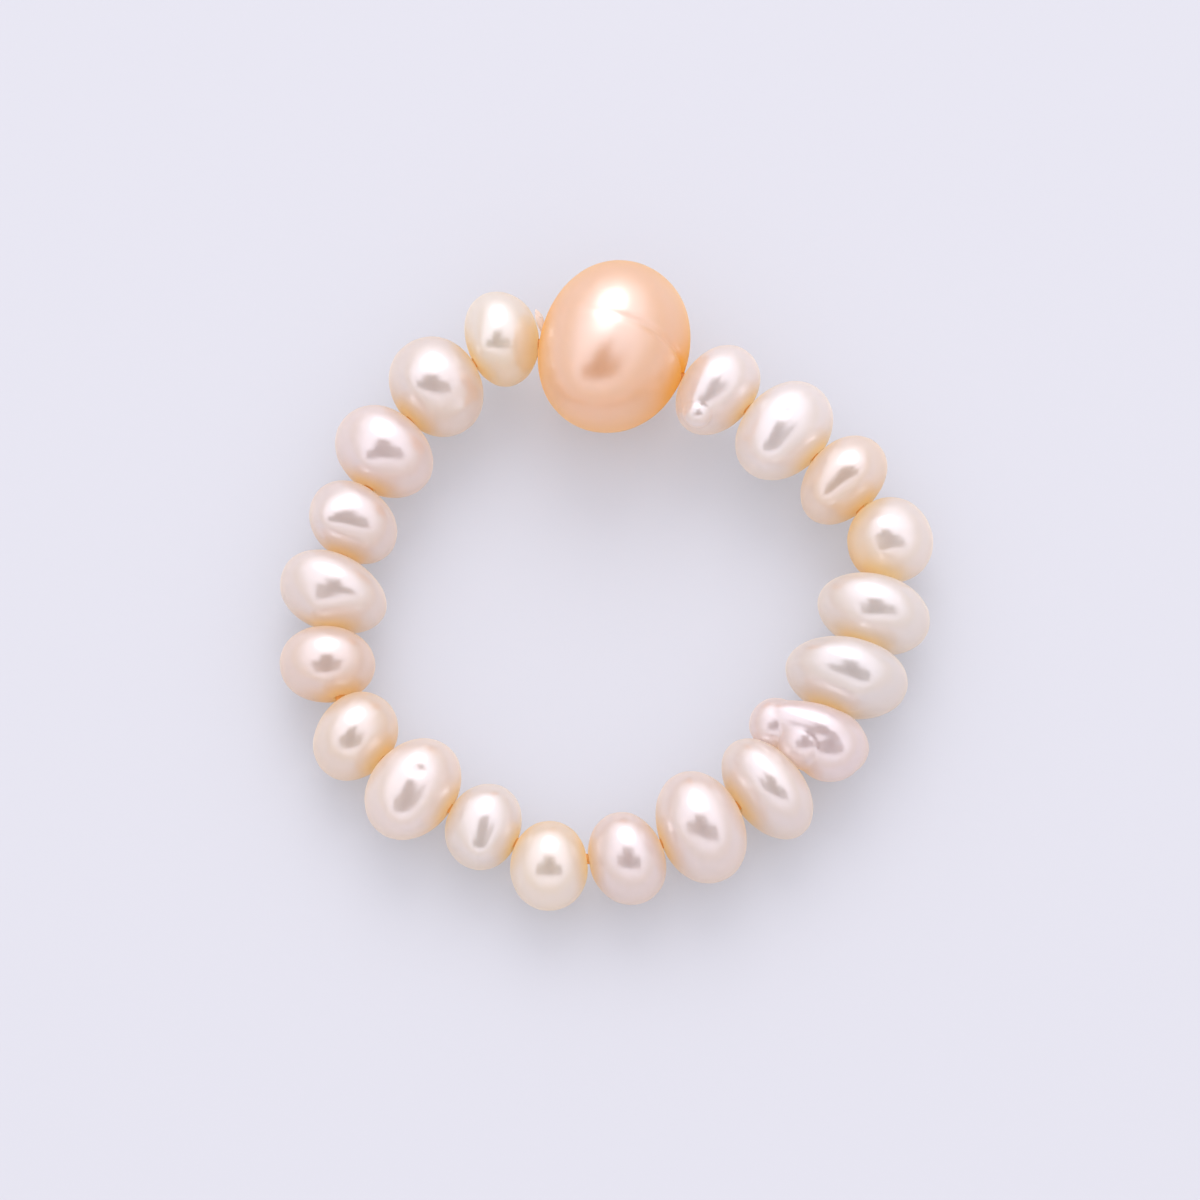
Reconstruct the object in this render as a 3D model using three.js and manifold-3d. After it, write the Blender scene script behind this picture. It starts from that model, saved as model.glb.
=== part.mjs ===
// A pearl stretch ring: one large peach pearl and twenty small freshwater pearls, strung tight on a
// clear elastic thread that is knotted in the mouth of the large pearl.
//
// Millimetres, +Z up. The ring lies on the plane z = 0 as it would by itself, with the large pearl
// towards +Y. The origin is the middle of its footprint on that plane.

import * as THREE from 'three';
import { mergeVertices } from 'three/addons/utils/BufferGeometryUtils.js';
import Module from 'manifold-3d';

const wasm = await Module();
wasm.setup();

// ---- Driving dimensions ----

const largePearlBearing = 84.5;     // degrees anticlockwise from +X, seen from above
const pearlGap = 0.04;              // clear space between two neighbours at their nearest
const bluntness = 0.05;             // how far the drilled faces are flattened: 0 is a plain ellipsoid
const boreRadius = 0.4;
const threadRadius = 0.2;
const straightPart = [0.2, 0.8];    // between two joints the thread is straight over this part

const knotRadius = 0.52;            // the knot, tucked in the large pearl
const knotScale = [1.12, 0.94, 0.9];
const knotDepth = 0.62;             // middle of the knot, behind the large pearl's drilled face
const recessRadius = 0.95;          // the widened mouth that holds the knot
const recessDepth = 1.35;
const tailRadius = 0.16;            // the trimmed end, standing in the groove beside the knot
const tailRise = 52;                // degrees that the tail climbs above the level
const tailReach = 1.40;             // from the thread's axis to the tail's tip
const tailLean = 0.1;               // how far the tip leans towards the last pearl
const tailBend = 0.2;               // the same for the bend, where it passes the recess's rim
const tailBendPart = 0.55;          // how far along the reach the bend is

const largePearlFacets = { around: 28, along: 18 };
const smallPearlFacets = { around: 18, along: 11 };
const threadSides = 8;
const loopSteps = 66;
const tailSteps = 6;

// One row for each pearl, clockwise from the large one as seen from above.
//   along  thickness along the thread          swing  turn of its width away from the radius, degrees
//   wide   width in plan, across the thread    lift   clear height under it
//   tall   height                              egg    how much thicker its outer side is than its inner
//   reach  its middle from the hole's middle   nose   how much narrower it is towards the next pearl
const pearls = [
  ['big_pearl', 'peach', 6.30, 7.40, 7.30, 11.80, -14, 0.00, 0.00, 0.02],
  ['pearl_01', 'ivory', 3.00, 4.20, 4.10, 11.35, -12, 1.10, 0.06, 0.00],
  ['pearl_02', 'ivory', 3.50, 4.65, 4.50, 11.70, 0, 0.55, 0.03, 0.02],
  ['pearl_03', 'cream', 2.95, 4.25, 4.15, 12.40, 16, 0.45, 0.05, -0.02],
  ['pearl_04', 'ivory', 3.60, 3.60, 3.60, 13.20, 0, 0.50, 0.05, -0.03],
  ['pearl_05', 'cream', 3.05, 4.80, 4.60, 12.00, -18, 0.00, 0.06, 0.00],
  ['pearl_06', 'blush', 3.10, 5.15, 4.90, 11.15, 2, 0.00, 0.04, 0.03],
  ['pearl_07', 'blush', 2.60, 4.85, 4.50, 10.75, 10, 0.00, 0.16, 0.00],
  ['pearl_08', 'cream', 2.90, 4.75, 4.50, 10.60, -6, 0.00, 0.02, -0.02],
  ['pearl_09', 'blush', 3.50, 4.80, 4.60, 10.35, -4, 0.00, 0.03, 0.00],
  ['pearl_10', 'blush', 3.10, 3.90, 3.80, 10.65, 12, 0.20, 0.05, 0.02],
  ['pearl_11', 'ivory', 3.20, 3.70, 3.65, 10.90, 8, 0.10, 0.05, 0.00],
  ['pearl_12', 'ivory', 3.05, 3.65, 3.60, 10.05, 2, 0.10, 0.04, 0.02],
  ['pearl_13', 'ivory', 3.50, 4.55, 4.40, 10.45, 4, 0.00, 0.02, 0.00],
  ['pearl_14', 'cream', 3.20, 3.90, 3.80, 11.00, 24, 0.15, -0.03, 0.00],
  ['pearl_15', 'blush', 3.10, 4.00, 3.90, 11.10, -12, 0.15, 0.03, 0.00],
  ['pearl_16', 'blush', 3.10, 4.65, 4.40, 10.75, -16, 0.00, 0.12, 0.00],
  ['pearl_17', 'cream', 3.10, 4.00, 3.90, 10.80, -14, 0.35, 0.03, -0.03],
  ['pearl_18', 'ivory', 3.45, 4.45, 4.30, 11.35, 4, 0.40, 0.04, -0.03],
  ['pearl_19', 'cream', 3.75, 4.45, 4.30, 12.10, 3, 0.65, 0.04, 0.00],
  ['pearl_20', 'cream', 3.10, 4.10, 4.00, 12.85, -2, 1.15, 0.05, 0.07],
].map(([name, tint, along, wide, tall, reach, swing, lift, egg, nose]) =>
  ({ name, tint, along, wide, tall, reach, swing, lift, egg, nose }));

// The bumps and hollows that are big enough to feel.
//   around  degrees from the pearl's outer side, towards the next pearl
//   up      degrees above the level
//   spread  degrees from its middle to where it has faded
//   rise    its height, or its depth if negative
const features = [
  ['pearl_01', 168, 30, 32, 0.26],
  ['pearl_07', 190, 40, 34, 0.20],
  ['pearl_07', 176, 72, 22, -0.14],
  ['pearl_07', 10, 60, 28, 0.10],
  ['pearl_13', 30, 84, 16, -0.10],
  ['pearl_14', 10, 70, 24, 0.08],
  ['pearl_16', 6, 46, 34, 0.10],
  ['pearl_19', 178, 36, 30, -0.14],
].map(([name, around, up, spread, rise]) => ({ name, around, up, spread, rise }));

// ---- Helpers ----

const UP = new THREE.Vector3(0, 0, 1);
const radians = THREE.MathUtils.degToRad;

// The unit vector at a bearing, anticlockwise from +X, and at an angle above the level.
function direction(bearing, elevation = 0) {
  const level = Math.cos(radians(elevation));
  return new THREE.Vector3(
    Math.cos(radians(bearing)) * level,
    Math.sin(radians(bearing)) * level,
    Math.sin(radians(elevation)),
  );
}

// The value between low and high where a rising function passes zero.
function solveRising(risingFunction, low, high, steps = 24) {
  for (let step = 0; step < steps; step += 1) {
    const middle = (low + high) / 2;
    if (risingFunction(middle) > 0) {
      high = middle;
    } else {
      low = middle;
    }
  }
  return (low + high) / 2;
}

function toManifold(geometry) {
  const bare = geometry.clone();
  bare.deleteAttribute('normal');
  bare.deleteAttribute('uv');
  const welded = mergeVertices(bare, 1e-4);
  return new wasm.Manifold(new wasm.Mesh({
    numProp: 3,
    vertProperties: new Float32Array(welded.attributes.position.array),
    triVerts: new Uint32Array(welded.index.array),
  }));
}

function fromManifold(solid) {
  const mesh = solid.getMesh();
  const geometry = new THREE.BufferGeometry();
  geometry.setAttribute('position', new THREE.BufferAttribute(mesh.vertProperties, 3));
  geometry.setIndex(new THREE.BufferAttribute(mesh.triVerts, 1));
  geometry.computeVertexNormals();
  return geometry;
}

// A closed cylinder between two points.
function cylinderBetween(start, end, radius, sides) {
  const span = end.clone().sub(start);
  const geometry = new THREE.CylinderGeometry(radius, radius, span.length(), sides);
  const turn = new THREE.Quaternion().setFromUnitVectors(new THREE.Vector3(0, 1, 0), span.normalize());
  geometry.applyQuaternion(turn);
  const middle = start.clone().add(end).multiplyScalar(0.5);
  geometry.translate(middle.x, middle.y, middle.z);
  return geometry;
}

// ---- The form of one pearl, about its own middle: x along the thread, y outwards, z up ----

function shapePoint(pearl, unit) {
  const thickness = pearl.along / 2 * (1 + bluntness * (1 - unit.x ** 2)) * (1 + pearl.egg * unit.y);
  const girth = 1 - pearl.nose * unit.x;
  const point = new THREE.Vector3(
    unit.x * thickness,
    unit.y * pearl.wide / 2 * girth,
    unit.z * pearl.tall / 2 * girth,
  );
  for (const feature of features.filter(({ name }) => name === pearl.name)) {
    const middle = direction(90 - feature.around, feature.up);
    const away = unit.angleTo(middle) / radians(feature.spread);
    point.addScaledVector(unit, feature.rise * Math.exp(-2 * away ** 2));
  }
  return point;
}

function pearlForm(pearl, facets) {
  const geometry = new THREE.SphereGeometry(1, facets.around, facets.along);
  geometry.rotateZ(-Math.PI / 2);
  const position = geometry.attributes.position;
  const unit = new THREE.Vector3();
  for (let i = 0; i < position.count; i += 1) {
    const point = shapePoint(pearl, unit.fromBufferAttribute(position, i).normalize());
    position.setXYZ(i, point.x, point.y, point.z);
  }
  return geometry;
}

// ---- Stringing: each pearl slides round until it meets the one before ----

for (const pearl of pearls) {
  pearl.form = pearlForm(pearl, pearl === pearls[0] ? largePearlFacets : smallPearlFacets);
}

function place(pearl, bearing, reachScale) {
  const wide = direction(bearing + pearl.swing);
  const along = wide.clone().cross(UP);
  const middle = direction(bearing).multiplyScalar(pearl.reach * reachScale);
  middle.z = pearl.tall / 2 + pearl.lift;
  return { bearing, middle, frame: new THREE.Matrix4().makeBasis(along, wide, UP).setPosition(middle) };
}

// How far a pearl stands out from its own middle in a given direction.
function halfWidth(pearl, spot, outward) {
  const back = new THREE.Quaternion().setFromRotationMatrix(spot.frame).invert();
  const local = outward.clone().applyQuaternion(back);
  const { array } = pearl.form.attributes.position;
  let widest = 0;
  for (let i = 0; i < array.length; i += 3) {
    widest = Math.max(widest, array[i] * local.x + array[i + 1] * local.y + array[i + 2] * local.z);
  }
  return widest;
}

// The clear space between two pearls: the thickest flat slab that passes between them.
function clearance(first, firstSpot, second, secondSpot) {
  const span = secondSpot.middle.clone().sub(firstSpot.middle);
  const sideways = span.clone().cross(UP).normalize();
  let thickest = -Infinity;
  for (let tilt = -15; tilt <= 15; tilt += 5) {
    const tilted = span.clone().normalize().applyAxisAngle(sideways, radians(tilt));
    for (let turn = -30; turn <= 30; turn += 5) {
      const across = tilted.clone().applyAxisAngle(UP, radians(turn));
      const taken = halfWidth(first, firstSpot, across)
        + halfWidth(second, secondSpot, across.clone().negate());
      thickest = Math.max(thickest, span.dot(across) - taken);
    }
  }
  return thickest;
}

function stringPearls(reachScale) {
  const spots = [place(pearls[0], largePearlBearing, reachScale)];
  for (let i = 1; i < pearls.length; i += 1) {
    const before = spots[i - 1];
    const opening = solveRising(
      (angle) => clearance(
        pearls[i - 1], before, pearls[i], place(pearls[i], before.bearing - angle, reachScale),
      ) - pearlGap,
      8, 40,
    );
    spots.push(place(pearls[i], before.bearing - opening, reachScale));
  }
  return spots;
}

// The loop closes when the last pearl clears the large one by the same gap as all the others.
const reachScale = solveRising((scale) => {
  const spots = stringPearls(scale);
  const last = pearls.length - 1;
  const leftOver = spots[last].bearing - (largePearlBearing - 360);
  return leftOver < 20 ? -1 : clearance(pearls[last], spots[last], pearls[0], spots[0]) - pearlGap;
}, 0.94, 1.06);
const spots = stringPearls(reachScale);

// The thread bends only where two pearls meet. joints[i] is between pearl i and the next one.
const joints = spots.map((spot, i) => {
  const next = (i + 1) % spots.length;
  const share = pearls[i].along / (pearls[i].along + pearls[next].along);
  return spot.middle.clone().lerp(spots[next].middle, share);
});
const jointBefore = (i) => joints[(i + joints.length - 1) % joints.length];

// ---- Pieces ----

const knotJoint = jointBefore(0);
const largeBore = joints[0].clone().sub(knotJoint).normalize();
const knotMiddle = knotJoint.clone().addScaledVector(largeBore, knotDepth);

function makePearl(i) {
  const overrun = (joints[i].distanceTo(jointBefore(i)) / 2) + 1;
  const middle = joints[i].clone().add(jointBefore(i)).multiplyScalar(0.5);
  const axis = joints[i].clone().sub(jointBefore(i)).normalize();
  const start = middle.clone().addScaledVector(axis, -overrun);
  const end = middle.clone().addScaledVector(axis, overrun);
  const body = toManifold(pearls[i].form.clone().applyMatrix4(spots[i].frame));
  return body.subtract(toManifold(cylinderBetween(start, end, boreRadius, 10)));
}

function makeLargePearl() {
  const mouth = knotJoint.clone().addScaledVector(largeBore, -1);
  const floor = knotJoint.clone().addScaledVector(largeBore, recessDepth);
  return makePearl(0).subtract(toManifold(cylinderBetween(mouth, floor, recessRadius, 16)));
}

// A round strand along a curve, closed at both ends.
function strand(curve, radius, steps) {
  const section = new THREE.Shape();
  for (let side = 0; side < threadSides; side += 1) {
    const turn = side / threadSides * 2 * Math.PI;
    const corner = [Math.cos(turn) * radius, Math.sin(turn) * radius];
    if (side === 0) {
      section.moveTo(...corner);
    } else {
      section.lineTo(...corner);
    }
  }
  section.closePath();
  return toManifold(new THREE.ExtrudeGeometry(section, { steps, extrudePath: curve }));
}

// From the knot through the large pearl, right round the ring and back into the knot.
function makeLoop() {
  const bends = [...joints, knotMiddle];
  const stops = [knotMiddle];
  bends.forEach((bend, i) => {
    const from = i === 0 ? knotMiddle : bends[i - 1];
    for (const part of straightPart) {
      stops.push(from.clone().lerp(bend, part));
    }
  });
  stops.push(knotMiddle);
  return strand(new THREE.CatmullRomCurve3(stops, false, 'centripetal'), threadRadius, loopSteps);
}

function makeKnot() {
  const form = new THREE.SphereGeometry(knotRadius, 14, 10);
  form.scale(...knotScale);
  form.translate(knotMiddle.x, knotMiddle.y, knotMiddle.z);
  return toManifold(form);
}

// The trimmed end leaves the knot, turns up in the groove between the two pearls and stops there.
function makeTail() {
  const outward = direction(spots[0].bearing);
  const climb = outward.clone().multiplyScalar(Math.cos(radians(tailRise)))
    .addScaledVector(UP, Math.sin(radians(tailRise)));
  const tip = knotJoint.clone().addScaledVector(climb, tailReach).addScaledVector(largeBore, -tailLean);
  const bend = knotJoint.clone().addScaledVector(climb, tailReach * tailBendPart)
    .addScaledVector(largeBore, -tailBend);
  const curve = new THREE.QuadraticBezierCurve3(knotMiddle.clone(), bend, tip);
  return strand(curve, tailRadius, tailSteps);
}

function makeThread() {
  return makeLoop().add(makeKnot()).add(makeTail());
}

// ---- Finishes ----

const nacre = {
  peach: new THREE.MeshStandardMaterial({ color: '#f2c39c', roughness: 0.22, metalness: 0 }),
  ivory: new THREE.MeshStandardMaterial({ color: '#efe1d8', roughness: 0.2, metalness: 0 }),
  cream: new THREE.MeshStandardMaterial({ color: '#efdcc6', roughness: 0.22, metalness: 0 }),
  blush: new THREE.MeshStandardMaterial({ color: '#eed6cd', roughness: 0.2, metalness: 0 }),
};
const clearElastic = new THREE.MeshStandardMaterial({ color: '#efe6de', roughness: 0.25, metalness: 0 });

// ---- The ring ----

const ring = new THREE.Group();

function addPiece(name, solid, material) {
  const mesh = new THREE.Mesh(fromManifold(solid), material);
  mesh.name = name;
  ring.add(mesh);
}

pearls.forEach((pearl, i) => {
  addPiece(pearl.name, i === 0 ? makeLargePearl() : makePearl(i), nacre[pearl.tint]);
});
addPiece('elastic_thread', makeThread(), clearElastic);

const footprint = new THREE.Box3().setFromObject(ring, true);
const centre = footprint.getCenter(new THREE.Vector3());
ring.position.set(-centre.x, -centre.y, -footprint.min.z);

export default ring;
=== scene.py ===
import math

import bpy
import numpy as np
from mathutils import Matrix, Vector


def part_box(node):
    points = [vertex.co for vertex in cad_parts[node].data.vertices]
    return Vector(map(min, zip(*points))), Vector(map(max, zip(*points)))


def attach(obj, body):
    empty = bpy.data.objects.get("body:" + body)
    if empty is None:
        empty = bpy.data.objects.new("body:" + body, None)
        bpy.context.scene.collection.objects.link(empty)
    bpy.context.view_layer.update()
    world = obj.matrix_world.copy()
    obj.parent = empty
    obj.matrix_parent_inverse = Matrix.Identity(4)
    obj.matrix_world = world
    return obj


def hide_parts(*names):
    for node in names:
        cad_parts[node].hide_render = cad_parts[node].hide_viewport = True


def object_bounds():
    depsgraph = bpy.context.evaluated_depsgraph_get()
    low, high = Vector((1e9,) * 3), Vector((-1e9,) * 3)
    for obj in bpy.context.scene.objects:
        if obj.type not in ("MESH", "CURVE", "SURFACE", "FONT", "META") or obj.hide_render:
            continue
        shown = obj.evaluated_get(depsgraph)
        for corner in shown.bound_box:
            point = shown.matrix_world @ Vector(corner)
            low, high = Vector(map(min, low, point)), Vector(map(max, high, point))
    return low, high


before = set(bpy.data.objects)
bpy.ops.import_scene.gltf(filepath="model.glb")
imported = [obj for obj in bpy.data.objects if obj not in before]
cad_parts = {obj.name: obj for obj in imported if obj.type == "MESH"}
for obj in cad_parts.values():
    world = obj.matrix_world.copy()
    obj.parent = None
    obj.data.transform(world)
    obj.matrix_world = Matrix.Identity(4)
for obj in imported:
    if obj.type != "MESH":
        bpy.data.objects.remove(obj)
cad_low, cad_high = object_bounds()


# ---- Camera ----
# The ring lies flat and is seen from high up on its near side, through a long lens, so that the
# large pearl is at the top of the picture.

MM = 0.001
CAMERA_ELEVATION = math.radians(70)
CAMERA_DISTANCE = 210 * MM
CAMERA_AIM = Vector((-0.3, -0.6, 2.2)) * MM

scene = bpy.context.scene
towards_camera = Vector((0, -math.cos(CAMERA_ELEVATION), math.sin(CAMERA_ELEVATION)))
camera = bpy.data.objects.new("camera", bpy.data.cameras.new("camera"))
camera.data.lens = 150
camera.data.sensor_width = 36
camera.data.clip_start = 5 * MM
camera.data.clip_end = 10
camera.location = CAMERA_AIM + towards_camera * CAMERA_DISTANCE
camera.rotation_euler = (-towards_camera).to_track_quat("-Z", "Y").to_euler()
scene.collection.objects.link(camera)
scene.camera = camera
scene.view_settings.view_transform = "Standard"


# ---- Table ----
# A sheet of matt, faintly lavender card, which the ring lies on. It lies on a light box, so part of
# its brightness comes from below, and the shadows on it stay soft.

CARD = (0.338, 0.341, 0.370, 1)
CARD_GLOW = (0.27, 0.27, 0.285, 1)
TABLE_WIDTH = 4


class Wire:
    """A socket in a node tree. Sums written with wires add their Math nodes to the tree."""

    def __init__(self, tree, socket=None):
        self.tree = tree
        self.socket = socket

    def node(self, kind, settings=None, sockets=None, output=0):
        """Adds one node, with its settings and then the values or wires of its sockets."""
        made = self.tree.nodes.new(kind)
        for name, value in (settings or {}).items():
            setattr(made, name, value)
        for name, value in (sockets or {}).items():
            if isinstance(value, Wire):
                self.tree.links.new(value.socket, made.inputs[name])
            else:
                made.inputs[name].default_value = value
        return Wire(self.tree, made.outputs[output] if made.outputs else None)

    def sum(self, operation, first, second=0.0):
        kind = "ShaderNodeMath"
        return self.node(kind, {"operation": operation}, {0: first, 1: second})

    def __add__(self, other):
        return self.sum("ADD", self, other)

    def __radd__(self, other):
        return self.sum("ADD", other, self)

    def __sub__(self, other):
        return self.sum("SUBTRACT", self, other)

    def __rsub__(self, other):
        return self.sum("SUBTRACT", other, self)

    def __mul__(self, other):
        return self.sum("MULTIPLY", self, other)

    def __rmul__(self, other):
        return self.sum("MULTIPLY", other, self)

    def __truediv__(self, other):
        return self.sum("DIVIDE", self, other)

    def __rtruediv__(self, other):
        return self.sum("DIVIDE", other, self)

    def __pow__(self, other):
        return self.sum("POWER", self, other)

    def __rpow__(self, other):
        return self.sum("POWER", other, self)

    def fade(self, start, end):
        """0 at start and 1 at end, eased at both."""
        settings = {"interpolation_type": "SMOOTHSTEP"}
        sockets = {"Value": self, "From Min": start, "From Max": end}
        return self.node("ShaderNodeMapRange", settings, sockets)

    def blend(self, share, first, second):
        """The first colour where the share is 0, and the second where it is 1."""
        return self.node("ShaderNodeMix", {"data_type": "RGBA"}, {0: share, 6: first, 7: second}, 2)


def new_material(name):
    """An empty material, and a wire to build its nodes from."""
    material = bpy.data.materials.new(name)
    material.use_nodes = True
    material.node_tree.nodes.clear()
    return material, Wire(material.node_tree)


def card_material():
    material, wire = new_material("card")
    place = wire.node("ShaderNodeTexCoord", output="Object")
    fibres = wire.node("ShaderNodeTexNoise", {}, {"Vector": place, "Scale": 1400, "Detail": 4})
    relief = wire.node("ShaderNodeBump", {}, {
        "Height": fibres, "Strength": 0.25, "Distance": 0.02 * MM,
    })
    surface = wire.node("ShaderNodeBsdfPrincipled", {}, {
        "Base Color": CARD,
        "Emission Color": CARD_GLOW,
        "Emission Strength": 1.0,
        "Roughness": 0.85,
        "Specular IOR Level": 0.2,
        "Normal": relief,
    })
    wire.node("ShaderNodeOutputMaterial", {}, {"Surface": surface})
    return material


def flat_panel(name, width, depth, material):
    """A level rectangle, centred on the origin and facing up."""
    mesh = bpy.data.meshes.new(name)
    x, y = width / 2, depth / 2
    mesh.from_pydata([(-x, -y, 0), (x, -y, 0), (x, y, 0), (-x, y, 0)], [], [(0, 1, 2, 3)])
    mesh.materials.append(material)
    panel = bpy.data.objects.new(name, mesh)
    scene.collection.objects.link(panel)
    return panel


table = flat_panel("table", TABLE_WIDTH, TABLE_WIDTH, card_material())
table.location.z = cad_low.z


# ---- Studio ----
# A pale room, brightest overhead and behind the ring, where its one large round lamp hangs. The
# camera's stand, a black head in front of dark grey arms, is what the pearls mirror under their
# highlights.

LAMP_TILT = 42
LAMP_DISTANCE = 0.6
LAMP_WIDTH = 0.44
LAMP_POWER = 1.25
LAMP_SIDE = (1.62, 1.58, 1.72, 1)
CEILING = (1.37, 1.33, 1.45, 1)
LOW_WALLS = (0.78, 0.71, 0.66, 1)
WALL_FADE = (0.10, 0.80)
LAMP_SIDE_FADE = (0.5, 1.0)
#    tilt in degrees, distance, width, depth, shade
STAND = {
    "stand_head": (-15, 0.45, 0.25, 0.38, 0.0),
    "stand_arms": (-27, 0.50, 0.80, 0.28, 0.18),
}


def light_the_room():
    """Gives the room its brightness: low walls, ceiling, and a brighter side round the lamp."""
    world = bpy.data.worlds.new("room")
    world.use_nodes = True
    world.node_tree.nodes.clear()
    wire = Wire(world.node_tree)
    direction = wire.node("ShaderNodeTexCoord", output="Generated")
    height = wire.node("ShaderNodeSeparateXYZ", {}, {0: direction}, "Z")
    walls = wire.blend(height.fade(*WALL_FADE), LOW_WALLS, CEILING)
    towards_lamp = facing_ring(LAMP_TILT, 1).translation
    dot = {"operation": "DOT_PRODUCT"}
    lined_up = wire.node("ShaderNodeVectorMath", dot, {0: direction, 1: towards_lamp}, "Value")
    colour = wire.blend(lined_up.fade(*LAMP_SIDE_FADE), walls, LAMP_SIDE)
    room = wire.node("ShaderNodeBackground", {}, {"Color": colour, "Strength": 1.0})
    wire.node("ShaderNodeOutputWorld", {}, {"Surface": room})
    scene.world = world


def facing_ring(tilt, distance):
    """Where something stands that faces the ring, tilted from straight above towards the back."""
    lean = math.radians(tilt)
    outwards = Vector((0, math.sin(lean), math.cos(lean)))
    return Matrix.Translation(outwards * distance) @ outwards.to_track_quat("Z", "Y").to_matrix().to_4x4()


def hang_lamp():
    lamp = bpy.data.lights.new("lamp", "AREA")
    lamp.shape = "DISK"
    lamp.size = LAMP_WIDTH
    lamp.energy = LAMP_POWER
    placed = bpy.data.objects.new("lamp", lamp)
    placed.matrix_world = facing_ring(LAMP_TILT, LAMP_DISTANCE)
    scene.collection.objects.link(placed)


def dark_stand(name, tilt, distance, width, depth, shade):
    """A dark panel that only mirrors show, so that it takes no light from the ring."""
    material, wire = new_material(name)
    dark = wire.node("ShaderNodeEmission", {}, {"Color": (shade, shade, shade, 1), "Strength": 1.0})
    wire.node("ShaderNodeOutputMaterial", {}, {"Surface": dark})
    panel = flat_panel(name, width, depth, material)
    panel.matrix_world = facing_ring(tilt, distance)
    panel.visible_camera = False
    panel.visible_diffuse = False
    panel.visible_shadow = False
    panel.visible_transmission = False


light_the_room()
hang_lamp()
for name, shape in STAND.items():
    dark_stand(name, *shape)


# ---- Pearls ----
# Freshwater pearls, nacre right through: no two are alike. Each is drilled, a little off true, and
# hangs on the thread by its hole, hole to hole with its neighbours. Sizes are in millimetres.

BORE = 0.3
LIP = 0.05
KNOT_MOUTH = 0.95
KNOT_MOUTH_DEPTH = 1.35
FORM_DEGREE = 6
HOLE_EDGE = 0.02
RIM_GUESS = 0.3
RIM_PASSES = 12
PLAIN_RINGS = 3
LOBE_FILLET = 0.08
CREASE_TURN = math.radians(84)
CREASE_WIDTH = math.radians(2.5)
CREASE_END = math.radians(115)
CREASE_FADE = math.radians(60)
RING_WANDER = 9.0
NACRE_IOR = 10.0
HOLE_MILK = 0.8
# The painted glow towards the holes begins at this share of a pearl's radius off its hole and grows by
# this power; the painted glow low down begins below this share of its radius.
HOLE_GLOW_START = 0.85
HOLE_GLOW_CURVE = 1.6
LOW_GLOW_START = 0.9
CLOUD_FADE = (0.35, 0.68)
GRAIN_ROUGHNESS = 0.06


def form_terms(unit):
    """Every product of powers of x, y and z that a smooth closed form is a sum of."""
    x, y, z = unit[..., 0], unit[..., 1], unit[..., 2]
    terms = []
    for degree in (FORM_DEGREE - 1, FORM_DEGREE):
        for i in range(degree + 1):
            for j in range(degree + 1 - i):
                terms.append(x ** i * y ** j * z ** (degree - i - j))
    return np.stack(terms, axis=-1)


class Pearl:
    """A pearl as it hangs: x along its hole, y outwards, z up, in millimetres from its middle."""

    def __init__(self, node):
        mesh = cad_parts[node].data
        mesh.calc_loop_triangles()
        corners = np.array([corner.co for corner in mesh.vertices]) / MM
        faces = np.array([face.vertices for face in mesh.loop_triangles])
        a, b, c = (corners[faces[:, k]] for k in range(3))
        normals = np.cross(b - a, c - a)
        centres = (a + b + c) / 3
        low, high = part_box(node)
        middle = np.array(low + high) / 2 / MM
        # The faces that look inwards are the wall of its hole, which shows where the hole runs.
        wall = np.sum(normals * (centres - middle), axis=1) < 0
        along = np.linalg.svd(normals[wall])[2][2]
        if np.dot(np.cross(middle, (0, 0, 1)), along) < 0:
            along = -along
        aside = np.average(centres[wall], axis=0, weights=np.linalg.norm(normals[wall], axis=1)) - middle
        self.middle = middle + aside - along * np.dot(aside, along)
        up = np.array((0, 0, 1)) - along * along[2]
        up /= np.linalg.norm(up)
        self.axes = np.stack([along, np.cross(up, along), up])
        # The rest is its skin, and a smooth closed form is fitted to that.
        local = (corners - self.middle) @ self.axes.T
        off_axis = np.hypot(local[:, 1], local[:, 2])
        hole = off_axis[faces[wall]].max()
        skin = local[off_axis > hole + HOLE_EDGE]
        reach = np.linalg.norm(skin, axis=1)
        terms = form_terms(skin / reach[:, None])
        self.form = np.linalg.lstsq(terms, reach ** -2, rcond=1e-6)[0]
        self.marks = []
        self.lobes = []
        self.crease_depth = 0

    def skin(self, theta, phi):
        """The points on the pearl at angle theta from its hole and turned by phi round it."""
        unit = np.stack([np.cos(theta), np.sin(theta) * np.cos(phi), np.sin(theta) * np.sin(phi)], axis=-1)
        reach = (form_terms(unit) @ self.form) ** -0.5
        for mark, spread, rise in self.marks:
            away = np.arccos(np.clip(unit @ mark, -1, 1)) / spread
            reach = reach + rise * np.exp(-2 * away ** 2)
        for lobe, radius in self.lobes:
            near = unit @ lobe
            ball = near + np.sqrt(np.maximum(radius ** 2 - lobe @ lobe + near ** 2, 0))
            share = np.clip(0.5 + (ball - reach) / (2 * LOBE_FILLET), 0, 1)
            reach = reach + (ball - reach) * share + LOBE_FILLET * share * (1 - share)
        aside = np.arcsin(np.sin(theta) * np.sin(phi - CREASE_TURN)) / CREASE_WIDTH
        fading = np.clip((CREASE_END - theta) / CREASE_FADE, 0, 1) * (np.cos(phi - CREASE_TURN) > 0)
        reach = reach - self.crease_depth * np.exp(-aside ** 2) * fading
        return unit * reach[..., None]

    def rim(self, phi, hole, end):
        """The angle theta at which the skin meets the rounded lip of a hole, at end 1 or -1."""
        theta = np.full_like(phi, RIM_GUESS)
        for _ in range(RIM_PASSES):
            turned = theta if end > 0 else math.pi - theta
            reach = np.linalg.norm(self.skin(turned, phi), axis=-1)
            theta = np.arcsin(np.clip((hole + LIP) / reach, 0, 1))
        return theta if end > 0 else math.pi - theta

    def in_place(self, points):
        return (points @ self.axes + self.middle) * MM


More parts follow.
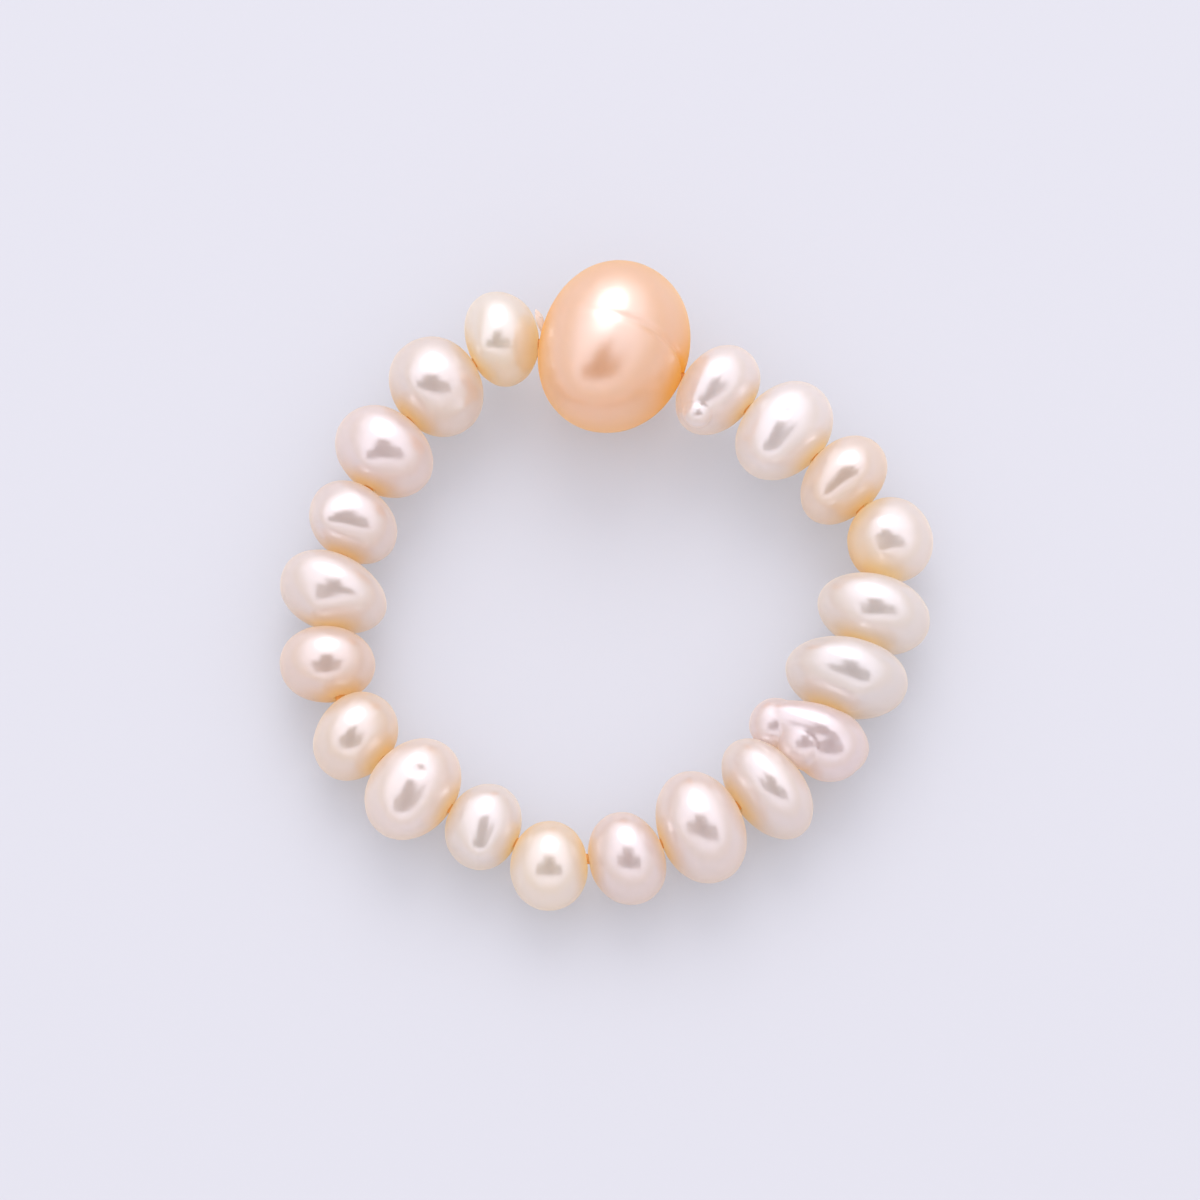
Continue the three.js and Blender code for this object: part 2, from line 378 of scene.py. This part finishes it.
def lip_rings(skin_rim, phi, hole, end, steps=4):
    """From the skin round a hole's edge and into it."""
    rings = []
    for step in range(1, steps + 1):
        turn = step / steps * math.pi / 2
        off_axis = hole + LIP * (1 - math.sin(turn))
        x = skin_rim[:, 0] - end * LIP * (1 - math.cos(turn))
        rings.append(np.stack([x, off_axis * np.cos(phi), off_axis * np.sin(phi)], axis=-1))
    return rings


def pearl_mesh(name, pearl, around, along, knot_mouth=False):
    """The skin from hole to hole, the rounded lips and the wall of the hole, as one closed mesh."""
    phi = np.arange(around) / around * 2 * math.pi
    first = pearl.rim(phi, BORE, 1)
    last = pearl.rim(phi, KNOT_MOUTH if knot_mouth else BORE, -1)
    rings = [pearl.skin(first + (last - first) * t, phi) for t in np.linspace(0, 1, along)]
    skin_rings = len(rings)
    far_lip = lip_rings(rings[-1], phi, KNOT_MOUTH if knot_mouth else BORE, -1)
    near_lip = lip_rings(rings[0], phi, BORE, 1)
    rings += far_lip
    if knot_mouth:
        floor = far_lip[-1][:, 0].mean() + KNOT_MOUTH_DEPTH
        for off_axis in (KNOT_MOUTH, BORE):
            level = np.full(around, floor)
            rings.append(np.stack([level, off_axis * np.cos(phi), off_axis * np.sin(phi)], axis=-1))
    rings += near_lip[::-1]
    points = pearl.in_place(np.concatenate(rings))
    count = len(rings)
    faces = []
    for i in range(count):
        for j in range(around):
            k = (j + 1) % around
            near, far = i * around, (i + 1) % count * around
            faces.append((near + j, far + j, far + k, near + k))
    mesh = bpy.data.meshes.new(name)
    mesh.from_pydata(points.tolist(), [], faces)
    on_skin = mesh.attributes.new("on_skin", "FLOAT", "POINT")
    inner_skin = slice(PLAIN_RINGS * around, (skin_rings - PLAIN_RINGS) * around)
    flags = np.zeros(len(points), np.float32)
    flags[inner_skin] = 1
    on_skin.data.foreach_set("value", flags)
    return mesh


def relief_tree():
    """Geometry nodes that give a pearl's skin its slow waves and the growth rings round its hole."""
    tree = bpy.data.node_groups.new("nacre_relief", "GeometryNodeTree")
    sockets = [
        ("Geometry", "NodeSocketGeometry"),
        ("Middle", "NodeSocketVector"),
        ("Along", "NodeSocketVector"),
        ("Wave Height", "NodeSocketFloat"),
        ("Wave Size", "NodeSocketFloat"),
        ("Ring Height", "NodeSocketFloat"),
        ("Ring Spacing", "NodeSocketFloat"),
        ("Seed", "NodeSocketFloat"),
        ("Finish", "NodeSocketMaterial"),
    ]
    for name, kind in sockets:
        tree.interface.new_socket(name, in_out="INPUT", socket_type=kind)
    tree.interface.new_socket("Geometry", in_out="OUTPUT", socket_type="NodeSocketGeometry")
    group = tree.nodes.new("NodeGroupInput")
    given = {name: Wire(tree, group.outputs[name]) for name, kind in sockets}
    wire = Wire(tree)
    vector = "ShaderNodeVectorMath"
    place = wire.node("GeometryNodeInputPosition")
    local = wire.node(vector, {"operation": "SUBTRACT"}, {0: place, 1: given["Middle"]})
    scaled = wire.node(vector, {"operation": "DIVIDE"}, {0: local, 1: given["Wave Size"]})
    waves = wire.node("ShaderNodeTexNoise", {"noise_dimensions": "4D"}, {
        "Vector": scaled, "W": given["Seed"], "Scale": 1.0, "Detail": 1.5, "Roughness": 0.4,
    })
    depth = wire.node(vector, {"operation": "DOT_PRODUCT"}, {0: local, 1: given["Along"]}, "Value")
    phase = depth / given["Ring Spacing"] * (2 * math.pi) + waves * RING_WANDER + given["Seed"]
    rings = wire.sum("SINE", phase)
    rise = (waves - 0.5) * 2.0 * given["Wave Height"] + rings * given["Ring Height"]
    on_skin = wire.node("GeometryNodeInputNamedAttribute", {"data_type": "FLOAT"}, {"Name": "on_skin"})
    soft = wire.node("GeometryNodeBlurAttribute", {"data_type": "FLOAT"}, {
        "Value": on_skin, "Iterations": PLAIN_RINGS,
    })
    outwards = wire.node("GeometryNodeInputNormal")
    push = wire.node(vector, {"operation": "SCALE"}, {0: outwards, "Scale": rise * soft})
    moved = wire.node("GeometryNodeSetPosition", {}, {"Geometry": given["Geometry"], "Offset": push})
    smooth = wire.node("GeometryNodeSetShadeSmooth", {}, {"Geometry": moved})
    real = wire.node("GeometryNodeRealizeInstances", {}, {"Geometry": smooth})
    done = wire.node("GeometryNodeSetMaterial", {}, {"Geometry": real, "Material": given["Finish"]})
    wire.node("NodeGroupOutput", {}, {"Geometry": done})
    return tree


def made_by_nodes(name, source, tree, values):
    """Runs a geometry node tree on an object, and returns its result as a plain mesh object."""
    modifier = source.modifiers.new(tree.name, "NODES")
    modifier.node_group = tree
    for item in tree.interface.items_tree:
        if item.in_out == "INPUT" and item.name in values:
            modifier[item.identifier] = values[item.name]
    evaluated = source.evaluated_get(bpy.context.evaluated_depsgraph_get())
    mesh = bpy.data.meshes.new_from_object(evaluated)
    mesh.name = name
    source.modifiers.remove(modifier)
    bpy.data.objects.remove(source)
    made = bpy.data.objects.new(name, mesh)
    scene.collection.objects.link(made)
    return made


def paint(code):
    """A colour written as on a paint chart, such as "e9e9f2", in the linear values that nodes take."""
    shares = [int(code[i:i + 2], 16) / 255 for i in (0, 2, 4)]
    return [s / 12.92 if s <= 0.04045 else ((s + 0.055) / 1.055) ** 2.4 for s in shares] + [1]


def nacre(name, pearl, skin, ends, bloom, sheen, glow, gloss, milk, low_glow_share, seed):
    """Nacre: a soft mirror over a milky body that light passes through.

    Its colour clouds over from skin to bloom. Towards the hole it turns to its ends colour, a painted
    glow of the light caught between neighbouring pearls, and by a share given for each pearl it turns
    the same way low down, a painted glow near the card. The sheen tints what it mirrors, and the glow
    its edges. A low gloss mirrors more sharply. The milk is the share of light that passes through.
    """
    material, wire = new_material(name)
    place = wire.node("ShaderNodeTexCoord", output="Object")
    turn = Matrix(pearl.axes.tolist()).transposed().to_euler()
    local = wire.node("ShaderNodeMapping", {"vector_type": "TEXTURE"}, {
        "Vector": place, "Location": pearl.middle * MM, "Rotation": turn, "Scale": (MM, MM, MM),
    })
    across = wire.node("ShaderNodeVectorMath", {"operation": "MULTIPLY"}, {0: local, 1: (0, 1, 1)})
    off_axis = wire.node("ShaderNodeVectorMath", {"operation": "LENGTH"}, {0: across}, "Value")
    clouds = wire.node("ShaderNodeTexNoise", {"noise_dimensions": "4D"}, {
        "Vector": local, "W": seed, "Scale": 0.45, "Detail": 2.0, "Roughness": 0.45,
    })
    grain = wire.node("ShaderNodeTexNoise", {"noise_dimensions": "4D"}, {
        "Vector": local, "W": seed, "Scale": 1.6, "Detail": 1.0, "Roughness": 0.4,
    })
    wide = pearl.skin(np.array(math.pi / 2), np.array(0.0))[1]
    # Towards the hole the colour turns to the ends colour: a painted glow of the light caught between
    # neighbouring pearls.
    towards_hole = off_axis.fade(wide * HOLE_GLOW_START, BORE)
    height = wire.node("ShaderNodeSeparateXYZ", {}, {0: local}, "Z")
    # Low down, by the pearl's own share, the colour turns to the ends colour as well: a painted glow near
    # the card.
    low = height.fade(wide * LOW_GLOW_START, 0.0)
    body = wire.blend(clouds.fade(*CLOUD_FADE), paint(skin), paint(bloom))
    colour = wire.blend(towards_hole ** HOLE_GLOW_CURVE + low * low_glow_share, body, paint(ends))
    relief = wire.node("ShaderNodeBump", {}, {
        "Height": grain, "Strength": 0.5, "Distance": 0.01 * MM,
    })
    surface = wire.node("ShaderNodeBsdfPrincipled", {}, {
        "Base Color": colour,
        "Roughness": grain * GRAIN_ROUGHNESS + gloss,
        "IOR": NACRE_IOR,
        "Specular Tint": sheen,
        "Sheen Weight": 1.0,
        "Sheen Roughness": 0.5,
        "Sheen Tint": glow,
        "Coat Weight": 0.2,
        "Coat Roughness": 0.08,
        "Coat IOR": 1.5,
        "Normal": relief,
    })
    inner_glow = wire.node("ShaderNodeBsdfTranslucent", {}, {"Color": colour})
    share = towards_hole * (HOLE_MILK - milk) + milk
    milky = wire.node("ShaderNodeMixShader", {}, {0: share, 1: surface, 2: inner_glow})
    wire.node("ShaderNodeOutputMaterial", {}, {"Surface": milky})
    return material


skin_relief = relief_tree()


def heading(around, up):
    """The direction from a pearl's middle, turned from its outer side and then raised, in degrees."""
    turned, raised = math.radians(around), math.radians(up)
    level = math.cos(raised)
    return np.array((math.sin(turned) * level, math.cos(turned) * level, math.sin(raised)))


def make_pearl(node, facets, finish, lustre, waves, rings, seed, marks, lobes=(), crease_depth=0,
               knot_mouth=False):
    """Makes a pearl in its node's place, with this many facets round its hole and along it.

    Waves are their height and size, and rings their height and spacing.
    """
    pearl = Pearl(node)
    pearl.marks = [(heading(around, up), math.radians(spread), rise) for around, up, spread, rise in marks]
    pearl.lobes = [(heading(around, up) * out, radius) for around, up, out, radius in lobes]
    pearl.crease_depth = crease_depth
    name = "fine_" + node
    mesh = pearl_mesh(name, pearl, *facets, knot_mouth)
    source = bpy.data.objects.new(name + "_plain", mesh)
    scene.collection.objects.link(source)
    wave_height, wave_size = waves
    ring_height, ring_spacing = rings
    piece = made_by_nodes(name, source, skin_relief, {
        "Middle": (pearl.middle * MM).tolist(),
        "Along": pearl.axes[0].tolist(),
        "Wave Height": wave_height * MM,
        "Wave Size": wave_size * MM,
        "Ring Height": ring_height * MM,
        "Ring Spacing": ring_spacing * MM,
        "Seed": seed,
        "Finish": nacre(name, pearl, *finish, *lustre, seed),
    })
    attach(piece, "root")
    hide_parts(node)
    return pearl


#        sheen, glow, gloss, milk, share of the painted glow low down
BIG_LUSTRE = ((0.82, 0.94, 0.98, 1), (1.0, 0.88, 0.56, 1), 0.29, 0.51, 0.45)
SMALL_LUSTRE = ((0.95, 0.95, 0.975, 1), (1.0, 0.92, 0.80, 1), 0.22, 0.47, 0.15)

# The second colour of the large pearl's finish, its ends colour, is a painted glow towards its holes.
big_pearl = make_pearl(
    "big_pearl", facets=(256, 128), finish=("fccea2", "ffd058", "fcd4b4"), lustre=BIG_LUSTRE,
    waves=(0.02, 2.6), rings=(0.002, 1.1), seed=3.0, marks=[(-173, 45, 48, 0.75)],
    crease_depth=0.10, knot_mouth=True,
)

# Each small pearl's colours, and the lumps and dimples it grew with.
#     skin, ends (a painted glow towards the holes), bloom; marks: around from its outer side, up, spread
#     (degrees), rise (mm)
SMALL_PEARLS = [
    (("f3eeee", "ffebb5", "f1eef0"), []),
    (("f3eeee", "ffeab4", "f1eef0"), [(170, 38, 35, 0.34), (-60, 84, 11, -0.06)]),
    (("f1e2d3", "ffe7ab", "efe2d9"), [(43, 68, 30, 0.14), (166, 42, 26, 0.14)]),
    (("f1ecec", "ffebb7", "efeaec"), [(-15, 80, 35, 0.18), (74, 56, 13, 0.06)]),
    (("efeae8", "ffe8af", "edeaea"), [(91, 51, 32, 0.16)]),
    (("ede8e6", "ffe6ab", "ebe8e8"), [(44, 50, 32, 0.20), (57, 26, 14, 0.08)]),
    (("f1e6e6", "fee4ae", "efe4e8"), []),
    (("f1eae6", "ffe8ae", "efe8ea"), []),
    (("efe4e0", "ffe7ae", "ede4e4"), [(92, 60, 32, 0.10)]),
    (("ede2e0", "ffe7b0", "ebe2e4"), []),
    (("f1eae2", "ffe8b0", "efeae8"), []),
    (("efeae6", "ffeab1", "efeaea"), [(-25, 38, 32, 0.28)]),
    (("f1e8e2", "ffe6ae", "f1e8e6"), [(-24, 33, 34, 0.32), (-100, 86, 11, -0.10)]),
    (("f1e6db", "ffe5a8", "efe6df"), [(-46, 38, 30, 0.10)]),
    (("efe0d7", "ffe5aa", "ede0db"), [(-64, 46, 32, 0.16)]),
    (("efe6e2", "ffe5aa", "ede6e4"), [(-67, 42, 34, 0.27)]),
    (("ede4e0", "ffe5ab", "ede4e4"), [(-35, 52, 36, 0.38)]),
    (("efe4e2", "ffe5ab", "ede4e6"), [(-76, 52, 32, 0.22)]),
    (("ede4df", "ffe6aa", "ebe4e2"), [(-52, 62, 32, 0.18), (-177, 35, 16, 0.10)]),
    (("f1eee8", "ffebb4", "efeeea"), [(-95, 60, 34, 0.24)]),
]
# The round knob on one and the three lobes of another.
#    around, up, out from its middle (mm), radius (mm)
LOBES = {
    1: [(-171, 33, 1.88, 0.62)],
    7: [(76, 60, 1.04, 1.15), (-3, 25, 1.12, 1.50), (160, 24, 1.56, 1.10)],
}
small_pearls = []
for number, (finish, marks) in enumerate(SMALL_PEARLS, start=1):
    small_pearls.append(make_pearl(
        f"pearl_{number:02d}", facets=(128, 84), finish=finish, lustre=SMALL_LUSTRE,
        waves=(0.03, 1.5), rings=(0.003, 0.7), seed=10.0 + number, marks=marks,
        lobes=LOBES.get(number, ()),
    ))


# ---- Thread ----
# Clear round elastic, run through every hole and back into the large pearl's mouth, where it is
# knotted. One trimmed end stands up in the groove between the large pearl and its neighbour.

THREAD = 0.2
STRAIGHT_PART = (0.2, 0.8)
LOOP_STEPS = 4
KNOT_STRAND = 0.12
KNOT_LOOP = 0.13
KNOT_DEPTH = 0.62
KNOT_POINTS = 96
TAIL = 0.16
TAIL_RISE = math.radians(52)
TAIL_REACH = 1.40
TAIL_LEAN = 0.2
TAIL_BEND = 0.2
TAIL_BEND_PART = 0.55
TAIL_POINTS = 17
TAIL_CUT = 1.2
TAIL_END = 0.02
# Below this height the thread is painted golden, a painted glow of the light between the pearls, and it
# turns clear over the next distance.
PAINTED_GLOW_TOP = 3.4
PAINTED_GLOW_FADE = 0.5
STRAND_SIDES = 14


def joint(one, other):
    """The middle of the shortest line between two pearls' holes."""
    first, second = one.axes[0], other.axes[0]
    apart = other.middle - one.middle
    both = np.dot(first, second)
    share = 1 - both ** 2
    along_first = (np.dot(apart, first) - both * np.dot(apart, second)) / share
    along_second = (both * np.dot(apart, first) - np.dot(apart, second)) / share
    return (one.middle + first * along_first + other.middle + second * along_second) / 2


def smooth_loop(stations, steps):
    """A closed curve through the stations, with its bends eased."""
    before, after = np.roll(stations, 1, axis=0), np.roll(stations, -1, axis=0)
    far = np.roll(stations, -2, axis=0)
    points = []
    for k in range(len(stations)):
        for t in np.arange(steps) / steps:
            points.append(0.5 * (
                2 * stations[k] + (after[k] - before[k]) * t
                + (2 * before[k] - 5 * stations[k] + 4 * after[k] - far[k]) * t ** 2
                + (3 * stations[k] - before[k] - 3 * after[k] + far[k]) * t ** 3
            ))
    return np.array(points)


def strand_mesh(name, strands):
    """The middle lines of the strands, as edges that carry each strand's thickness."""
    points, edges, thickness = [], [], []
    for line, radius, closed in strands:
        start = len(points)
        points += (line * MM).tolist()
        thickness += [radius * MM] * len(line)
        edges += [(start + k, start + k + 1) for k in range(len(line) - 1)]
        if closed:
            edges.append((start + len(line) - 1, start))
    mesh = bpy.data.meshes.new(name)
    mesh.from_pydata(points, edges, [])
    mesh.attributes.new("thickness", "FLOAT", "POINT").data.foreach_set("value", thickness)
    return mesh


def strand_tree():
    """Geometry nodes that give lines a round body, with closed ends."""
    tree = bpy.data.node_groups.new("round_strand", "GeometryNodeTree")
    sockets = [
        ("Geometry", "NodeSocketGeometry"),
        ("Sides", "NodeSocketInt"),
        ("Finish", "NodeSocketMaterial"),
    ]
    for name, kind in sockets:
        tree.interface.new_socket(name, in_out="INPUT", socket_type=kind)
    tree.interface.new_socket("Geometry", in_out="OUTPUT", socket_type="NodeSocketGeometry")
    group = tree.nodes.new("NodeGroupInput")
    given = {name: Wire(tree, group.outputs[name]) for name, kind in sockets}
    wire = Wire(tree)
    thickness = wire.node("GeometryNodeInputNamedAttribute", {"data_type": "FLOAT"}, {"Name": "thickness"})
    kept = wire.node("GeometryNodeMeshToCurve", {}, {"Mesh": given["Geometry"]})
    section = wire.node("GeometryNodeCurvePrimitiveCircle", {}, {
        "Resolution": given["Sides"], "Radius": 1.0,
    })
    body = wire.node("GeometryNodeCurveToMesh", {}, {
        "Curve": kept, "Profile Curve": section, "Scale": thickness, "Fill Caps": True,
    })
    smooth = wire.node("GeometryNodeSetShadeSmooth", {}, {"Geometry": body})
    real = wire.node("GeometryNodeRealizeInstances", {}, {"Geometry": smooth})
    done = wire.node("GeometryNodeSetMaterial", {}, {"Geometry": real, "Material": given["Finish"]})
    wire.node("NodeGroupOutput", {}, {"Geometry": done})
    return tree


def clear_elastic():
    """Clear stretchy plastic, a little milky, with fine lines drawn along it. Low down, in and between the
    pearls, it is painted golden: a painted glow.
    """
    material, wire = new_material("clear_elastic")
    place = wire.node("ShaderNodeTexCoord", output="Object")
    lines = wire.node("ShaderNodeTexNoise", {}, {"Vector": place, "Scale": 3000, "Detail": 2})
    relief = wire.node("ShaderNodeBump", {}, {
        "Height": lines, "Strength": 0.2, "Distance": 0.01 * MM,
    })
    # Low down, in and between the pearls, the thread's colour is a painted golden glow.
    height = wire.node("ShaderNodeSeparateXYZ", {}, {0: place}, "Z")
    clear = height.fade(PAINTED_GLOW_TOP * MM, (PAINTED_GLOW_TOP + PAINTED_GLOW_FADE) * MM)
    colour = wire.blend(clear, paint("ffd890"), paint("fcf8f4"))
    surface = wire.node("ShaderNodeBsdfPrincipled", {}, {
        "Base Color": colour,
        "Roughness": lines * 0.1 + 0.1,
        "IOR": 1.48,
        "Transmission Weight": 0.35,
        "Normal": relief,
    })
    inner_light = wire.node("ShaderNodeBsdfTranslucent", {}, {"Color": colour})
    milky = wire.node("ShaderNodeMixShader", {}, {0: 0.5, 1: surface, 2: inner_light})
    wire.node("ShaderNodeOutputMaterial", {}, {"Surface": milky})
    return material


strung = [big_pearl] + small_pearls
joints = [joint(strung[k - 1], strung[k]) for k in range(len(strung))]
stations = []
for k, here in enumerate(joints):
    there = joints[(k + 1) % len(joints)]
    stations += [here] + [here + (there - here) * part for part in STRAIGHT_PART]
loop = smooth_loop(np.array(stations), LOOP_STEPS)

large_bore = big_pearl.axes[0]
outward = big_pearl.middle * (1, 1, 0) / np.linalg.norm(big_pearl.middle[:2])
knot_middle = joints[0] + large_bore * KNOT_DEPTH

# The knot is a trefoil, wound twice round the large pearl's hole.
turns = np.arange(KNOT_POINTS) / KNOT_POINTS * 2 * math.pi
wound = 2 + np.cos(3 * turns)
knot_local = np.stack([np.sin(3 * turns), wound * np.cos(2 * turns), wound * np.sin(2 * turns)], axis=-1)
knot = knot_middle + knot_local * KNOT_LOOP @ big_pearl.axes

# The tail comes out of the mouth from the knot, and bends up into the groove beside the large pearl.
climb = outward * math.cos(TAIL_RISE) + np.array((0, 0, math.sin(TAIL_RISE)))
bend = joints[0] + climb * TAIL_REACH * TAIL_BEND_PART - large_bore * TAIL_BEND
tip = joints[0] + climb * TAIL_REACH - large_bore * TAIL_LEAN
t = np.linspace(0, 1, TAIL_POINTS)[:, None]
tail = knot_middle * (1 - t) ** 2 + bend * 2 * t * (1 - t) + tip * t ** 2

#    line, radius, closed
strands = [
    (loop, THREAD, True),
    (knot, KNOT_STRAND, True),
    (tail, TAIL, False),
]
source = bpy.data.objects.new("thread_lines", strand_mesh("thread_lines", strands))
scene.collection.objects.link(source)
thread = made_by_nodes("fine_elastic_thread", source, strand_tree(), {
    "Sides": STRAND_SIDES, "Finish": clear_elastic(),
})

# The trimmed end is snipped at a slant.
tail_way = (tip - bend) / np.linalg.norm(tip - bend)
corners = np.array([corner.co for corner in thread.data.vertices]) / MM
past = (corners - tip) @ tail_way
at_end = (past > -TAIL_END) & (np.linalg.norm(corners - tip, axis=1) < 2 * TAIL)
corners[at_end] -= np.outer(((corners - tip) @ large_bore)[at_end] * TAIL_CUT, tail_way)
thread.data.vertices.foreach_set("co", (corners * MM).ravel())
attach(thread, "root")
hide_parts("elastic_thread")
